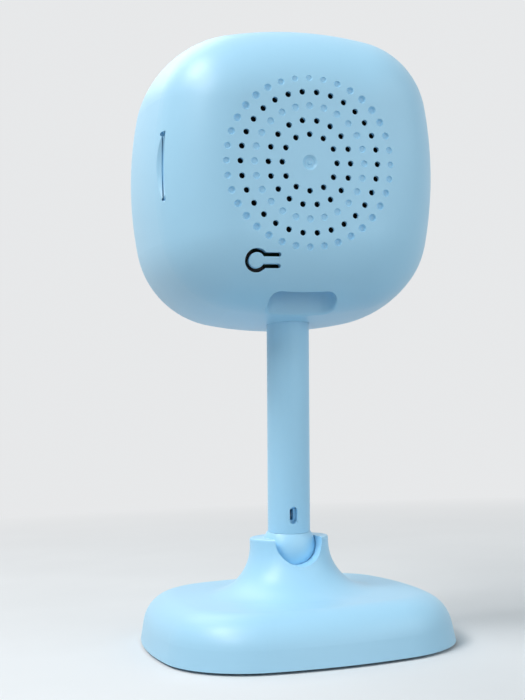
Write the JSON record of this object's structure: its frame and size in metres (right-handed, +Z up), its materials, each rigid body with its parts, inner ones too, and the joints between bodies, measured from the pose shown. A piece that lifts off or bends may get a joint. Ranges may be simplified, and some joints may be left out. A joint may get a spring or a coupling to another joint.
{
  "type": "security camera",
  "caption": "Indoor security camera: rounded-square head with rear speaker grille on a slim stem, held by a ball joint in the collar of a weighted base.",
  "frame": {"origin": "centre of the underside of the rubber pad that the base stands on", "axes": "+Z up, -Y towards the lens side of the head, +Y towards the back with the speaker grille and the collar's notch, +X towards the card slot's flank; at rest the head leans back by 6.4 degrees and is turned by 5.5 degrees about the stem, as in the picture"},
  "size_m": [0.0617, 0.0599, 0.1245],
  "materials": {
    "shell": "fine satin, pale blue-white",
    "window": "polished black",
    "black_plastic": "satin black",
    "switch_plastic": "satin ivory",
    "grey_plastic": "satin grey",
    "rubber": "matt black",
    "thermal_rubber": "matt blue-grey",
    "steel": "bare",
    "plated": "bright plated",
    "iron": "dark, coated",
    "aluminium": "rolled sheet",
    "copper": "copper colour",
    "board": "green solder mask",
    "chip": "moulded black",
    "clear_glass": "coated, clear",
    "tinted_glass": "blue-green tint",
    "led_resin": "dark clear resin",
    "cone": "matt black, coated",
    "ribbon": "white film"
  },
  "bodies": {
    "base": {"base_shell": "shell", "base_plate": "grey_plastic", "base_pad": "rubber", "ballast_plate": "iron", "base_screws": "steel", "seat_spring": "steel", "seat_retainer": "grey_plastic", "retainer_screws": "steel"},
    "ball_seat": {"ball_seat": "black_plastic"},
    "ball": {"ball": "shell"},
    "head": {"rear_shell": "shell", "front_bezel": "shell", "front_window": "window", "speaker_gasket": "rubber", "speaker_frame": "plated", "speaker_magnet": "iron", "main_board": "board", "power_socket": "plated", "card_socket": "plated", "reset_switch": "chip", "processor": "chip", "thermal_pad": "thermal_rubber", "flash_chip": "chip", "shield_can": "plated", "heat_spreader": "aluminium", "board_screws": "steel", "lens_holder": "black_plastic", "lens_barrel": "black_plastic", "front_lens": "clear_glass", "rear_lens": "clear_glass", "image_sensor": "chip", "holder_screws": "steel", "switcher_frame": "iron", "switcher_coil": "copper", "led_board": "board", "infrared_leds": "led_resin", "light_sensor": "chip", "status_led": "led_resin", "microphone": "plated", "microphone_boot": "rubber", "lens_hood": "rubber", "led_board_screws": "steel", "ribbon_cable": "ribbon", "ribbon_connectors": "switch_plastic", "antenna": "copper", "stem_tube": "shell", "stem_plug": "shell", "ball_screw": "steel", "stem_anchor": "grey_plastic", "anchor_screws": "steel"},
    "reset_key": {"reset_key": "shell"},
    "reset_plunger": {"switch_plunger": "switch_plastic"},
    "ir_filter": {"filter_frame": "black_plastic", "clear_glass": "clear_glass", "infrared_cut_glass": "tinted_glass"},
    "ir_rotor": {"filter_rotor": "iron"},
    "speaker_cone": {"speaker_cone": "cone"},
    "card_slider": {"card_slider": "black_plastic"}
  },
  "joints": [
    {"name": "lean", "type": "hinge", "parent": "base", "child": "ball_seat", "pos_m": [0, 0, 0.0184], "axis": [0, 1, 0], "range_deg": [-6, 6]},
    {"name": "tilt", "type": "hinge", "parent": "ball_seat", "child": "ball", "pos_m": [0, 0, 0.0184], "axis": [-1, 0, 0], "range_deg": [-18.4, 63.6]},
    {"name": "twist", "type": "hinge", "parent": "ball", "child": "head", "pos_m": [0, 0, 0.0184], "axis": [0, 0.1115, 0.9938], "continuous": true},
    {"name": "reset_key_press", "type": "hinge", "parent": "head", "child": "reset_key", "pos_m": [0.0074, 0.02283, 0.0733], "axis": [0, -0.1115, -0.9938], "range_deg": [0, 6.9], "stiffness_Nm_per_rad": 0.01},
    {"name": "reset_plunger_press", "type": "slide", "parent": "head", "child": "reset_plunger", "axis": [-0.0958, -0.9892, 0.111], "range_m": [0, 0.0005], "stiffness_N_per_m": 800},
    {"name": "ir_filter_slide", "type": "slide", "parent": "head", "child": "ir_filter", "axis": [0.9954, -0.0952, 0.0107], "range_m": [0, 0.006]},
    {"name": "ir_rotor_turn", "type": "hinge", "parent": "head", "child": "ir_rotor", "pos_m": [0.00077, 0.015, 0.08072], "axis": [0.0958, 0.9892, -0.111], "range_deg": [0, 57.4]},
    {"name": "speaker_cone_travel", "type": "slide", "parent": "head", "child": "speaker_cone", "axis": [0.0958, 0.9892, -0.111], "range_m": [-0.00025, 0.00025], "stiffness_N_per_m": 400},
    {"name": "card_slider_travel", "type": "slide", "parent": "head", "child": "card_slider", "axis": [-0.9954, 0.0952, -0.0107], "range_m": [0, 0.0012], "stiffness_N_per_m": 300}
  ],
  "couplings": [
    {"joint": "reset_key_press", "follows": "reset_plunger_press", "rad_per_m": 240},
    {"joint": "ir_rotor_turn", "follows": "ir_filter_slide", "rad_per_m": 166.67}
  ]
}
